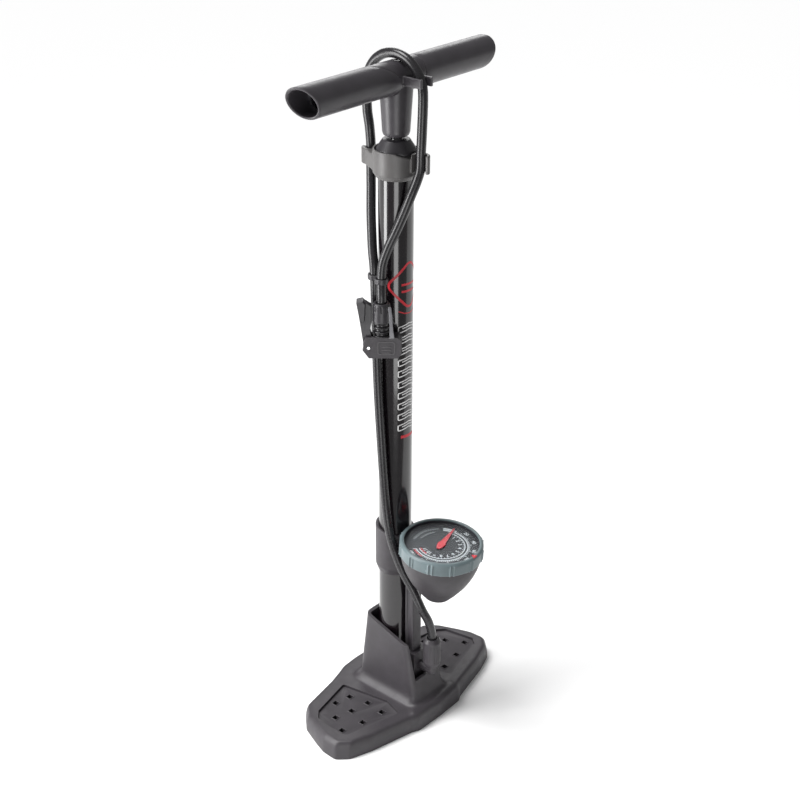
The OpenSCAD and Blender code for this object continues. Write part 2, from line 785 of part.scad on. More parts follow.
module head_body() {
    color(plastic) head_frame() difference() {
        side_plate(cheek) polygon([[-14.8, body_z1], [16, body_z1], [port_x, body_z1 - 4],
            [port_x, body_z0 + 4.5], [15.5, body_z0], [-12.2, body_z0], [-18.4, 431.5], [-16.4, 442]]);
        translate([-21, -slot_half, body_z0 + 3]) cube([13.5, 2 * slot_half, 30]);
        translate([pivot.x, 20, pivot.y]) rotate([90, 0, 0]) cylinder(r = pin_r, h = 40);
        translate([port_x - port_depth, 0, port_z]) rotate([0, 90, 0]) cylinder(r = port_r, h = 40);
        translate([gasket_x, 0, port_z]) rotate([0, 90, 0]) cylinder(r = gasket_r, h = port_x - port_depth - gasket_x);
        translate([-10, 0, port_z]) rotate([0, 90, 0]) cylinder(r = 3.5, h = 15);
        translate([0, 0, port_z]) cylinder(r = 1.8, h = 30);
    }
}

module valve_gasket() {
    color("#111111") head_frame() translate([gasket_x, 0, port_z]) rotate([0, 90, 0])
        difference() {
            cylinder(r = gasket_r, h = 3.4);
            translate([0, 0, -1]) cylinder(r = 2.6, h = 6);
        }
}

module head_plunger() {
    color("#d8d4c8") head_frame() translate([-6.5, 0, port_z]) rotate([0, 90, 0])
        cylinder(r = 3.44, h = 8.5);
}

module lever_pin() {
    color(steel) head_frame() translate([pivot.x, cheek + 0.3, pivot.y]) rotate([90, 0, 0])
        cylinder(r = pin_r, h = 2 * cheek + 0.6);
}

module head_lever() {
    color(plastic) head_frame() difference() {
        union() {
            translate([pivot.x, 3.8, pivot.y]) rotate([90, 0, 0]) cylinder(r = 5, h = 7.6);
            side_plate(3.8) polygon([[-17.3, 435], [-8, 436], [-10.8, 451], [-9.6, 460], [-9.6, 476],
                [-14, 479], [-18, 481.5], [-24, 480], [-20, 454]]);
            side_plate(6) polygon([[-20.4, 459], [-16.4, 461], [-15.4, 478.5], [-18, 481.5], [-24, 480]]);
        }
        translate([pivot.x, 20, pivot.y]) rotate([90, 0, 0]) cylinder(r = pin_r + 0.05, h = 40);
    }
}

// ---- Nodes -----------------------------------------------------------------------------------------

base();
foot_pad(-1);  // foot_pad_left
foot_pad(1);  // foot_pad_right
base_screws();
barrel();
barrel_plug();
plug_seal();
check_ball();
check_spring();
outlet_elbow();
hose_nut();
gauge_bracket();
gauge_pipe();
gauge_housing();
bourdon_tube();
gauge_plate();
sector_gear();
needle_shaft();
gauge_needle();
gauge_dial();
gauge_lens();
gauge_bezel();
bezel_marker();
top_cap();
gland_nut();
rod_bushing();
piston_rod();
piston();
piston_seal();
piston_nut();
rebound_bumper();
handle_hub();
handle_tube();
handle_bolt();
grip_left();
grip_right();
hose();
hose_clip();
head_nut();
head_boot();
head_body();
valve_gasket();
head_plunger();
lever_pin();
head_lever();
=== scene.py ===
import math

import bmesh
import bpy
from mathutils import Matrix, Vector


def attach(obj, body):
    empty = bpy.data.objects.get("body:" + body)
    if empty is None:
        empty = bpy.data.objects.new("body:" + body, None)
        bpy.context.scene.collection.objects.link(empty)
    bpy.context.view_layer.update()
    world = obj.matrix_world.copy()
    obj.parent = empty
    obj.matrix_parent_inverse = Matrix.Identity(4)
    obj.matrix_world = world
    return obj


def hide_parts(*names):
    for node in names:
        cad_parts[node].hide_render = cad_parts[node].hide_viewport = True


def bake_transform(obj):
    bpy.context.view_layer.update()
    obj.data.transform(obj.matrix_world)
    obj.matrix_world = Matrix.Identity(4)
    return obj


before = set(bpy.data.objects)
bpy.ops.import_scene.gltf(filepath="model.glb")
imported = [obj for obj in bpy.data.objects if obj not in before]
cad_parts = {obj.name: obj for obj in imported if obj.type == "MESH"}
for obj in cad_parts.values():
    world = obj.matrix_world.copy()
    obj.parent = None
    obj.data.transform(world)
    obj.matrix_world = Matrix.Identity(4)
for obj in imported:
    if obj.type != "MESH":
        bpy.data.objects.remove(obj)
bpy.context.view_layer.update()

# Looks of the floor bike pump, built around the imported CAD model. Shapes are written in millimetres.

scene = bpy.context.scene
MM = 0.001

# ---- Camera ----------------------------------------------------------------------------------------

# Place in metres, lens in millimetres, angles in degrees: heading from +Y, dip below level, roll.
CAMERA_AT = (-1.01907, -0.87939, 1.04124)
CAMERA_LENS = 67.84
CAMERA_HEADING, CAMERA_DIP, CAMERA_ROLL = -49.397, 26.79, 0.23

camera = bpy.data.objects.new("camera", bpy.data.cameras.new("camera"))
scene.collection.objects.link(camera)
camera.data.sensor_width = 36
camera.data.lens = CAMERA_LENS
camera.data.clip_start, camera.data.clip_end = 0.05, 60
turn = Matrix.Rotation(math.radians(CAMERA_HEADING), 4, "Z")
pitch = Matrix.Rotation(math.radians(90 - CAMERA_DIP), 4, "X")
roll = Matrix.Rotation(math.radians(CAMERA_ROLL), 4, "Z")
camera.matrix_world = Matrix.Translation(CAMERA_AT) @ turn @ pitch @ roll
scene.camera = camera

# ---- Mesh helpers ----------------------------------------------------------------------------------


def shade(ob, angle=35):
    """Smooth shading that keeps edges sharper than angle."""
    for p in ob.data.polygons:
        p.use_smooth = True
    ob.data.set_sharp_from_angle(angle=math.radians(angle))
    return ob


def make(name, verts, faces, place=None, angle=35):
    """A mesh object from points in millimetres; place is a matrix in millimetres too."""
    place = place or Matrix.Identity(4)
    mesh = bpy.data.meshes.new(name)
    mesh.from_pydata([(place @ Vector(v)) * MM for v in verts], [], faces)
    work = bmesh.new()
    work.from_mesh(mesh)
    bmesh.ops.recalc_face_normals(work, faces=work.faces)
    work.to_mesh(mesh)
    work.free()
    ob = bpy.data.objects.new(name, mesh)
    scene.collection.objects.link(ob)
    return shade(ob, angle)


def loft(name, rings, closed=False, place=None, angle=35):
    """Skin over rings that all have the same number of points; capped at both ends unless closed."""
    n, m = len(rings[0]), len(rings)
    verts = [p for ring in rings for p in ring]
    faces = []
    for i in range(m if closed else m - 1):
        for k in range(n):
            a, b = i * n + k, i * n + (k + 1) % n
            c, d = ((i + 1) % m) * n + (k + 1) % n, ((i + 1) % m) * n + k
            faces.append((a, b, c, d))
    if not closed:
        faces += [tuple(range(n))[::-1], tuple(range((m - 1) * n, m * n))]
    return make(name, verts, faces, place, angle)


def around(n):
    """The cosine and sine of n even steps round a circle."""
    return [(math.cos(math.tau * k / n), math.sin(math.tau * k / n)) for k in range(n)]


def lathe(name, profile, n=96, closed=False, place=None, angle=35):
    """A profile of (radius, height) turned about Z."""
    rings = [[(max(r, 0.01) * c, max(r, 0.01) * s, z) for c, s in around(n)] for r, z in profile]
    return loft(name, rings, closed, place, angle)


def prism(name, outline, z0, z1, place=None):
    """An outline raised from z0 to z1."""
    return loft(name, [[(x, y, z) for x, y in outline] for z in (z0, z1)], place=place)


def box(name, lo, hi, place=None):
    """A block between its lowest and highest corners."""
    return prism(name, [(lo[0], lo[1]), (hi[0], lo[1]), (hi[0], hi[1]), (lo[0], hi[1])], lo[2], hi[2], place)


def rounded(points, radius, n=5):
    """The closed outline with each corner turned into an arc."""
    out = []
    for i, b in enumerate(points):
        a, b, c = Vector(points[i - 1]), Vector(b), Vector(points[(i + 1) % len(points)])
        u, v = (a - b).normalized(), (c - b).normalized()
        half = u.angle(v) / 2
        reach = min(radius / math.tan(half), (a - b).length * 0.48, (c - b).length * 0.48)
        for k in range(n + 1):
            t = k / n
            out.append(tuple((b + u * reach) * (1 - t) ** 2 + b * 2 * t * (1 - t) + (b + v * reach) * t * t))
    return out


def rect(x, y0, y1):
    """A rectangle that reaches x to both sides."""
    return [(x, y0), (x, y1), (-x, y1), (-x, y0)]


def smooth_route(points, n):
    """Points on the smooth curve through all of the points, n steps for each span."""
    pts = [Vector(p) for p in points]
    last = len(pts) - 1
    out = []
    for i in range(last):
        a, b, c, d = pts[max(i - 1, 0)], pts[i], pts[i + 1], pts[min(i + 2, last)]
        for k in range(n):
            t = k / n
            square, cube = 2 * a - 5 * b + 4 * c - d, 3 * b - a - 3 * c + d
            out.append(0.5 * (2 * b + (c - a) * t + square * t * t + cube * t**3))
    return out + [pts[last]]


def sweep(name, path, radius, n):
    """A round section carried along a path without twist."""
    path = [Vector(p) for p in path]
    rings, side = [], Vector((1, 0, 0))
    for i, p in enumerate(path):
        t = (path[min(i + 1, len(path) - 1)] - path[max(i - 1, 0)]).normalized()
        side = (side - t * side.dot(t)).normalized()
        up = t.cross(side)
        rings.append([p + radius * (c * side + s * up) for c, s in around(n)])
    return loft(name, rings)


def settle(ob):
    """Turns the object's modifiers into its mesh."""
    bpy.context.view_layer.update()
    seen = ob.evaluated_get(bpy.context.evaluated_depsgraph_get())
    mesh = bpy.data.meshes.new_from_object(seen)
    ob.modifiers.clear()
    ob.data = mesh
    return ob


def combine(ob, tools, how="DIFFERENCE"):
    """Adds the tools to a solid, or takes them away, and removes them."""
    for tool in tools:
        m = ob.modifiers.new("combine", "BOOLEAN")
        m.operation, m.solver, m.object = how, "MANIFOLD", tool
    settle(ob)
    for tool in tools:
        bpy.data.objects.remove(tool)
    return ob


def soften(ob, voxel, rounds):
    """Even small faces all over, then rounded edges."""
    m = ob.modifiers.new("remesh", "REMESH")
    m.mode, m.voxel_size = "VOXEL", voxel * MM
    m = ob.modifiers.new("smooth", "SMOOTH")
    m.factor, m.iterations = 0.5, rounds
    settle(ob)
    return shade(ob, 60)


def cad_copy(node, name):
    """A copy of a CAD node's mesh as a closed solid."""
    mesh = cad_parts[node].data.copy()
    mesh.name = name
    mesh.materials.clear()
    work = bmesh.new()
    work.from_mesh(mesh)
    bmesh.ops.remove_doubles(work, verts=work.verts, dist=2e-6)
    work.to_mesh(mesh)
    work.free()
    ob = bpy.data.objects.new(name, mesh)
    scene.collection.objects.link(ob)
    return ob


def place_on(ob, look, body, *nodes, slot):
    """Dresses a finished piece, and lets it ride on its body for the nodes that it stands for."""
    ob.data.materials.clear()
    ob.data.materials.append(look)
    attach(ob, body)
    if nodes:
        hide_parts(*nodes)
    return ob


def soft_copy(node, voxel, rounds, look, body, slot):
    """A rounded copy of a CAD node, which it replaces."""
    return place_on(soften(cad_copy(node, node + "_skin"), voxel, rounds), look, body, node, slot=slot)


# ---- Materials -------------------------------------------------------------------------------------


def material(
    name, base, rough=0.5, spread=0.12, metallic=0.0, grain=0.0, grain_scale=900, blotch=60,
    wear_and_highlight=0.0, wear_and_highlight_colour=(0.3, 0.3, 0.3), coat=0.0, hollow_shade=0.15, rough_spread=0.1,
):
    """Moulded, painted or turned surface: uneven colour and gloss, fine grain, pale edges of wear and painted
    highlight, painted shade in hollows.
    """
    made = bpy.data.materials.new(name)
    made.use_nodes = True
    tree = made.node_tree
    node, link = tree.nodes, tree.links.new
    shader = node["Principled BSDF"]
    shader.inputs["Metallic"].default_value = metallic
    shader.inputs["Coat Weight"].default_value = coat
    shader.inputs["Coat Roughness"].default_value = 0.06
    where = node.new("ShaderNodeTexCoord")
    patch = node.new("ShaderNodeTexNoise")
    patch.inputs["Scale"].default_value = blotch
    patch.inputs["Detail"].default_value = 5
    link(where.outputs["Object"], patch.inputs["Vector"])
    ramp = node.new("ShaderNodeValToRGB")
    ramp.color_ramp.elements[0].position, ramp.color_ramp.elements[1].position = 0.3, 0.72
    ramp.color_ramp.elements[0].color = (*[c * (1 - spread) for c in base], 1)
    ramp.color_ramp.elements[1].color = (*[min(1, c * (1 + spread)) for c in base], 1)
    link(patch.outputs["Fac"], ramp.inputs["Fac"])
    colour = ramp.outputs["Color"]
    sharp = node.new("ShaderNodeNewGeometry").outputs["Pointiness"]
    # Edge wear and painted highlight: sharp edges, found by pointiness, are lightened toward the given edge
    # colour.
    if wear_and_highlight:
        edge = node.new("ShaderNodeMapRange")
        edge.inputs["From Min"].default_value, edge.inputs["From Max"].default_value = 0.52, 0.6
        edge.inputs["To Max"].default_value = wear_and_highlight
        link(sharp, edge.inputs["Value"])
        worn_and_lit = node.new("ShaderNodeMix")
        worn_and_lit.data_type = "RGBA"
        worn_and_lit.inputs[7].default_value = (*wear_and_highlight_colour, 1)
        link(edge.outputs["Result"], worn_and_lit.inputs[0])
        link(colour, worn_and_lit.inputs[6])
        colour = worn_and_lit.outputs[2]
    # Painted shade: hollows, found by pointiness, are darkened toward 0.35 of the base colour.
    if hollow_shade:
        hollow = node.new("ShaderNodeMapRange")
        hollow.inputs["From Min"].default_value, hollow.inputs["From Max"].default_value = 0.48, 0.4
        hollow.inputs["To Max"].default_value = hollow_shade * 3
        link(sharp, hollow.inputs["Value"])
        deep = node.new("ShaderNodeMix")
        deep.data_type = "RGBA"
        deep.inputs[7].default_value = (*[c * 0.35 for c in base], 1)
        link(hollow.outputs["Result"], deep.inputs[0])
        link(colour, deep.inputs[6])
        colour = deep.outputs[2]
    link(colour, shader.inputs["Base Color"])
    gloss = node.new("ShaderNodeTexNoise")
    gloss.inputs["Scale"].default_value, gloss.inputs["Detail"].default_value = blotch * 2.3, 6
    link(where.outputs["Object"], gloss.inputs["Vector"])
    level = node.new("ShaderNodeMapRange")
    level.inputs["To Min"].default_value = max(0.02, rough - rough_spread)
    level.inputs["To Max"].default_value = min(1, rough + rough_spread)
    link(gloss.outputs["Fac"], level.inputs["Value"])
    link(level.outputs["Result"], shader.inputs["Roughness"])
    if grain:
        fine = node.new("ShaderNodeTexNoise")
        fine.inputs["Scale"].default_value, fine.inputs["Detail"].default_value = grain_scale, 3
        link(where.outputs["Object"], fine.inputs["Vector"])
        bump = node.new("ShaderNodeBump")
        bump.inputs["Strength"].default_value, bump.inputs["Distance"].default_value = grain, 0.0002
        link(fine.outputs["Fac"], bump.inputs["Height"])
        link(bump.outputs["Normal"], shader.inputs["Normal"])
    return made


# Unless its amount is set to 0, each material gets painted shade in its hollows.
charcoal = material("charcoal", (0.035, 0.031, 0.036), 0.45, grain=0.35, grain_scale=1500, wear_and_highlight=0.25,
                    wear_and_highlight_colour=(0.17, 0.165, 0.17))
grip_black = material("grip_black", (0.046, 0.042, 0.048), 0.36, grain=0.08, grain_scale=1500, wear_and_highlight=0.35,
                      wear_and_highlight_colour=(0.2, 0.19, 0.2))
pad_black = material("pad_black", (0.029, 0.025, 0.03), 0.6, grain=0.8, grain_scale=700, wear_and_highlight=0.3,
                     wear_and_highlight_colour=(0.14, 0.135, 0.14))
nut_black = material("nut_black", (0.03, 0.028, 0.032), 0.38, grain=0.2, grain_scale=1500, wear_and_highlight=0.3,
                     wear_and_highlight_colour=(0.11, 0.11, 0.115))
cap_grey = material("cap_grey", (0.1, 0.096, 0.095), 0.42, grain=0.3, grain_scale=1500, wear_and_highlight=0.3,
                    wear_and_highlight_colour=(0.2, 0.19, 0.19))
paint = material("paint", (0.006, 0.004, 0.0055), 0.18, coat=0.6, grain=0.06, grain_scale=260,
                 spread=0.2, rough_spread=0.05, hollow_shade=0)
hose_black = material("hose_black", (0.016, 0.015, 0.017), 0.27, grain=0.06, grain_scale=900, blotch=120,
                      rough_spread=0.08, hollow_shade=0)
seal_black = material("seal_black", (0.01, 0.01, 0.01), 0.55, grain=0.3)
steel = material("steel", (0.6, 0.61, 0.63), 0.26, metallic=1, grain=0.1, grain_scale=2500, hollow_shade=0.05)
chrome = material("chrome", (0.74, 0.74, 0.75), 0.09, metallic=1, grain=0.03, grain_scale=300,
                  rough_spread=0.04, hollow_shade=0)
brass = material("brass", (0.66, 0.5, 0.22), 0.3, metallic=1, grain=0.1, grain_scale=2000)
acetal = material("acetal", (0.62, 0.6, 0.55), 0.3, grain=0.1)
# The bezel gets stronger painted shade in its grooves, and pale edges of wear and painted highlight.
bezel_blue = material("bezel_blue", (0.125, 0.165, 0.175), 0.36, grain=0.15, grain_scale=1500, wear_and_highlight=0.45,
                      wear_and_highlight_colour=(0.42, 0.47, 0.48), hollow_shade=0.3)
dial_black = material("dial_black", (0.06, 0.058, 0.062), 0.5, grain=0.1)
tongue_grey = material("tongue_grey", (0.2, 0.2, 0.215), 0.3, grain=0.1, wear_and_highlight=0.3,
                       wear_and_highlight_colour=(0.35, 0.35, 0.36))
white_ink = material("white_ink", (0.8, 0.8, 0.8), 0.5, spread=0.06, grain=0.1, hollow_shade=0)
red_ink = material("red_ink", (0.62, 0.02, 0.035), 0.42, spread=0.12, grain=0.1, hollow_shade=0)
faded_ink = material("faded_ink", (0.34, 0.34, 0.35), 0.5, spread=0.1, grain=0.1, hollow_shade=0)
needle_red = material("needle_red", (0.75, 0.02, 0.035), 0.3, spread=0.08, grain=0.05, hollow_shade=0.1)


LENS_SHINE = 0.1


def lens_material():
    """Clear moulded lens: lets the dial show, and shines at a low angle, on its outer side only."""
    made = bpy.data.materials.new("lens")
    made.use_nodes = True
    node, link = made.node_tree.nodes, made.node_tree.links.new
    node.remove(node["Principled BSDF"])
    clear = node.new("ShaderNodeBsdfTransparent")
    shine = node.new("ShaderNodeBsdfGlossy")
    mix = node.new("ShaderNodeMixShader")
    clear.inputs["Color"].default_value = (0.93, 0.95, 0.96, 1)
    shine.inputs["Roughness"].default_value = 0.06
    glancing = node.new("ShaderNodeFresnel")
    glancing.inputs["IOR"].default_value = 1.5
    facing = node.new("ShaderNodeMath")
    facing.operation = "SUBTRACT"
    facing.inputs[0].default_value = 1
    front = node.new("ShaderNodeMath")
    front.operation = "MULTIPLY"
    weaker = node.new("ShaderNodeMath")
    weaker.operation = "MULTIPLY"
    weaker.inputs[1].default_value = LENS_SHINE
    link(node.new("ShaderNodeNewGeometry").outputs["Backfacing"], facing.inputs[1])
    link(glancing.outputs["Fac"], front.inputs[0])
    link(facing.outputs["Value"], front.inputs[1])
    link(front.outputs["Value"], weaker.inputs[0])
    link(weaker.outputs["Value"], mix.inputs["Fac"])
    link(clear.outputs["BSDF"], mix.inputs[1])
    link(shine.outputs["BSDF"], mix.inputs[2])
    link(mix.outputs["Shader"], node["Material Output"].inputs["Surface"])
    return made


lens = lens_material()

# ---- Hose ------------------------------------------------------------------------------------------

# The route of the CAD model, from the nut at the base to the nut of the head.
HOSE_ROUTE = [
    (0, -52, 76), (0, -52.3, 96), (-4, -50.8, 117), (-9, -45, 134), (-12, -36, 154), (-17, -24.5, 178),
    (-20.5, -16.5, 201), (-23, -11.5, 225), (-23, -6.5, 258), (-23, -1, 324), (-22.2, 4.4, 396),
    (-21.8, 7.8, 496), (-18.5, 13.5, 525), (-10.5, 22, 555), (-3, 28.5, 580), (0, 31.3, 602),
    (0, 31.2, 619), (-1, 32, 637), (-1, 34.7, 653), (0, 35.7, 676), (0, 33.1, 688.9), (0, 25.8, 699.8),
    (0, 14.9, 707.1), (0, 2, 709.7), (0, -10.9, 707.1), (0, -21.8, 699.8), (0, -29.1, 688.9),
    (0, -31.7, 676), (0, -30.7, 640), (0, -29.8, 622), (-0.5, -29.7, 608), (-3.4, -28.2, 597),
    (-8, -24.9, 583), (-13, -19.6, 564), (-17.4, -14.6, 548), (-21.4, -9.6, 533.5), (-25, -5.4, 517),
    (-26, -4.4, 501), (-28.2, -6.3, 484), (-28.5, -6.7, 472),
]
HOSE_R = 4.7
# The tube in the look is this much thinner in radius, and so stays clear of what it passes.
HOSE_CLEAR = 0.12

hose_path = smooth_route(HOSE_ROUTE, 8)
hose = sweep("hose_tube", hose_path, HOSE_R - HOSE_CLEAR, 28)
hose.data.materials.append(hose_black)
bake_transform(hose)
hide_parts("hose")

# ---- Light and floor -------------------------------------------------------------------------------


def area(name, at, size, power, aim, size_y=None):
    """A soft lamp of a size in metres, turned to the point that it lights."""
    lamp = bpy.data.lights.new(name, "AREA")
    lamp.energy, lamp.size = power, size
    if size_y:
        lamp.shape, lamp.size_y = "RECTANGLE", size_y
    ob = bpy.data.objects.new(name, lamp)
    ob.location = at
    ob.rotation_euler = (Vector(aim) - Vector(at)).to_track_quat("-Z", "Y").to_euler()
    ob.visible_camera = False
    scene.collection.objects.link(ob)


scene.view_settings.view_transform = "Standard"
world = bpy.data.worlds.new("studio")
world.use_nodes = True
world.node_tree.nodes["Background"].inputs["Color"].default_value = (1, 1, 1, 1)
world.node_tree.nodes["Background"].inputs["Strength"].default_value = 0.28
scene.world = world
sun = bpy.data.objects.new("sun", bpy.data.lights.new("sun", "SUN"))
sun.data.energy, sun.data.angle = 2.9, math.radians(30)
sun.rotation_euler = (Vector((0.25, -0.3, -1))).to_track_quat("-Z", "Y").to_euler()
scene.collection.objects.link(sun)
area("left", (-0.85, 0.5, 0.6), 0.4, 14, size_y=1.1, aim=(0, 0, 0.4))
area("back_right", (1.1, 0.95, 1.2), 0.7, 5, aim=(0, 0, 0.45))
area("front_low", (-0.95, -0.85, 0.08), 0.6, 4.5, aim=(0, 0, 0.66))

floor_white = bpy.data.materials.new("floor_white")
floor_white.use_nodes = True
floor_white.node_tree.nodes["Principled BSDF"].inputs["Base Color"].default_value = (0.9, 0.9, 0.9, 1)
floor_white.node_tree.nodes["Principled BSDF"].inputs["Roughness"].default_value = 0.7
# The floor ends a little in front of the pump, outside the camera's view, because the glossy barrel
# mirrors a larger one.
toward, across = Vector((-0.759, -0.651, 0)), Vector((0.651, -0.759, 0))
FLOOR_FRONT, FLOOR_BACK, FLOOR_SIDE, FLOOR_Z = 340, -14000, 9000, -0.2
sheet = [
    (FLOOR_FRONT, -FLOOR_SIDE), (FLOOR_FRONT, FLOOR_SIDE),
    (FLOOR_BACK, FLOOR_SIDE), (FLOOR_BACK, -FLOOR_SIDE),
]
corners = [toward * a + across * b + Vector((0, 0, FLOOR_Z)) for a, b in sheet]
floor = make("floor", corners, [(0, 1, 2, 3)])
floor.data.materials.append(floor_white)

# ---- Base ------------------------------------------------------------------------------------------

# Right half of the deck seen from above, one tread pad and its holes, and the throat as slices of
# (half width, front, back, height, corner radius).
HALF = [
    (0, -65), (34, -64), (41, -60), (92, -48), (117, -39), (127.5, -28), (126.5, -10), (121, 6),
    (112, 28), (100, 41), (52, 50), (34, 55), (22, 59), (0, 60),
]
PAD = [(47, 34), (98, 23), (107, 15), (113, -20), (106, -28), (44, -44), (37, -21)]
HOLES = [(103, -16), (92, 3.5), (79, -23.5), (72.5, -2), (74, 20), (53, -27.5), (51, -6), (56, 16)]
TOWER = [
    (33, -57, 44, 14, 12), (30.5, -54, 40, 19, 11), (28, -51.5, 36, 22.5, 10), (26, -49.8, 33, 26, 9),
    (25, -48.8, 31, 30, 9), (23.4, -42, 28.5, 60, 8.5), (21.9, -35.5, 26, 88, 8), (20.4, -28.5, 23.8, 118, 8),
]
WALL = 3.6
BARREL_R = 17.0
PAD_Z, PAD_TOP = 15.6, 17.0
# Half the width of a drain hole, and the radius of the corners of the deck and the pads.
HOLE_HALF = 2.7
CORNER_R = 3


def deck_outline(inset):
    """The whole deck seen from above, drawn in by a share about its middle."""
    half = [(x * inset, -3 + (y + 3) * inset) for x, y in HALF]
    return rounded(half + [(-x, y) for x, y in reversed(half) if x > 0.01], CORNER_R)


def tower(name, grow, z_from=-100.0):
    """The throat, grown or shrunk all round."""
    rings = [
        [(x, y, z) for x, y in rounded(rect(w + grow, y0 - grow, y1 + grow), r + grow)]
        for w, y0, y1, z, r in TOWER
        if z >= z_from
    ]
    return loft(name, rings)


def drain_hole(side, x, y):
    """A square drain hole of one wing, as a tool."""
    return box("hole", (side * x - HOLE_HALF, y - HOLE_HALF, -40), (side * x + HOLE_HALF, y + HOLE_HALF, 60))


def rim_tool():
    """What is cut off above the slanted rim of the throat."""
    tilt = Matrix.Translation((0, -10, 95)) @ Matrix.Rotation(math.radians(17), 4, "X")
    return box("rim_tool", (-60, -80, 0), (60, 80, 60), tilt)


def build_base():
    """The deck with its throat, the block that holds the supply pipe and the socket of the barrel."""
    levels = [(-16, 1.0), (5, 0.998), (12, 0.99), (16.5, 0.978), (20, 0.955)]
    shell = loft("base_shell", [[(x, y, z) for x, y in deck_outline(k)] for z, k in levels])
    foot = rounded([(-42, -61), (-26, -46), (34, -50), (37, -62), (0, -65)], 2)
    top = rounded([(-39, -57), (-26, -46), (33, -50), (34, -57), (0, -60)], 2)
    crease = loft("crease", [[(x, y, z) for x, y in o] for o, z in ((foot, -10), (foot, 17), (top, 21))])
    combine(shell, [tower("tower", 0), crease], "UNION")
    soften(shell, 1.5, 10)
    inner = tower("inner", -WALL, 26)
    cavity = prism("cavity", deck_outline(0.94), -40, 12.4)
    ribs = [box("rib", (x - 1.2, -40, -60), (x + 1.2, 32, 14.5)) for x in (-96, -64, -34, 34, 64, 96)]
    ribs.append(box("rib", (-100, -1.2, -60), (100, 1.2, 14.5)))
    ribs.append(lathe("boss", [(0, -60), (23, -60), (23, 30), (0, 30)], 64))
    for rib in ribs:
        combine(cavity, [rib])
    pads = [prism("pad", [(side * x, y) for x, y in rounded(PAD, CORNER_R)], PAD_Z, 50) for side in (-1, 1)]
    holes = [drain_hole(side, x, y) for side in (-1, 1) for x, y in HOLES]
    screws = [lathe("screw", [(0, -40), (4, -40), (4, 8), (0, 8)], 32) for _ in range(4)]
    for s, (x, y) in zip(screws, [(-11, 8), (11, 8), (-11, -8), (11, -8)]):
        s.data.transform(Matrix.Translation((x * MM, y * MM, 0)))
    front = [box("front", (-18, -70, 46), (18, -15, 140)), box("front", (0, -70, 56), (60, -8, 140))]
    bottom = box("bottom", (-200, -200, -60), (200, 200, 0))
    for tool in [bottom, rim_tool(), inner, cavity] + front + pads + holes + screws:
        combine(shell, [tool])
    shade(shell, 42)
    place_on(shell, charcoal, "root", "base", slot="charcoal_plastic")

    block = box("base_block", (-10, -36, 21), (10, -17.5, 72))
    soften(block, 0.9, 4)
    hole = lathe("hole", [(0, 40), (5.2, 40), (5.2, 90), (0, 90)], 40)
    hole.data.transform(Matrix.Translation((0, -25.5 * MM, 0)))
    shade(combine(block, [hole]), 45)
    place_on(block, charcoal, "root", slot="charcoal_plastic")
    socket = lathe("base_socket", [
        (BARREL_R + 0.02, 20), (BARREL_R + 0.02, 43.5), (17.6, 44.2), (18.2, 44.2), (18.4, 45.6), (19, 46),
        (21.8, 46), (22.6, 45.6), (23, 44.8), (23, 26), (24.5, 22.5), (24.5, 20),
    ], 96, closed=True)
    place_on(socket, charcoal, "root", slot="charcoal_plastic")


def build_pads():
    """The two tread pads, each with a raised rim round every drain hole."""
    for side, name in ((-1, "left"), (1, "right")):
        outline = rounded([(side * x * 0.9975, y * 0.994) for x, y in PAD], CORNER_R)
        pad = prism("pad_" + name, outline, PAD_Z, PAD_TOP)
        for x, y in HOLES:
            combine(pad, [drain_hole(side, x, y)])
        place_on(shade(pad), pad_black, "root", "foot_pad_" + name, slot="pad_plastic")
        section = [(2.75, -0.1), (2.75, 0.4), (3.0, 0.55), (3.4, 0.5), (3.7, 0), (3.7, -0.1)]
        for i, (x, y) in enumerate(HOLES):
            rings = []
            for cx, cy in ((1, 1), (-1, 1), (-1, -1), (1, -1)):
                rings.append([(side * x + cx * d, y + cy * d, PAD_TOP + z) for d, z in section])
            rim = loft(f"pad_rim_{name}_{i}", rings, closed=True)
            place_on(rim, pad_black, "root", slot="pad_plastic")


# ---- Barrel and its printed marks ------------------------------------------------------------------

BARREL_BORE, BARREL_Z0, BARREL_Z1 = 15.6, 14, 612
# Radii between which the print stands on the barrel.
INK_LOW, INK_TOP = BARREL_R - 0.02, BARREL_R + 0.05


def ink(name, path, width, colour, closed=False):
    """A printed stroke on the front of the barrel. The path is (distance round the barrel, height)."""
    fine = []
    pts = path + [path[0]] if closed else path
    for (u0, z0), (u1, z1) in zip(pts, pts[1:]):
        steps = max(1, int(math.hypot(u1 - u0, z1 - z0) / 1.2))
        fine += [(u0 + (u1 - u0) * k / steps, z0 + (z1 - z0) * k / steps) for k in range(steps)]
    if not closed:
        fine.append(pts[-1])
    rings, m = [], len(fine)
    for i, (u, z) in enumerate(fine):
        a = Vector(fine[(i - 1) % m] if closed else fine[max(i - 1, 0)])
        b = Vector(fine[(i + 1) % m] if closed else fine[min(i + 1, m - 1)])
        t = (b - a).normalized()
        du, dz = -t.y * width / 2, t.x * width / 2
        ring = []
        for s, r in ((1, INK_LOW), (1, INK_TOP), (-1, INK_TOP), (-1, INK_LOW)):
            phi = -math.pi / 2 + (u + s * du) / BARREL_R
            ring.append((r * math.cos(phi), r * math.sin(phi), z + s * dz))
        rings.append(ring)
    return place_on(loft(name, rings, closed), colour, "root", slot="black_paint")


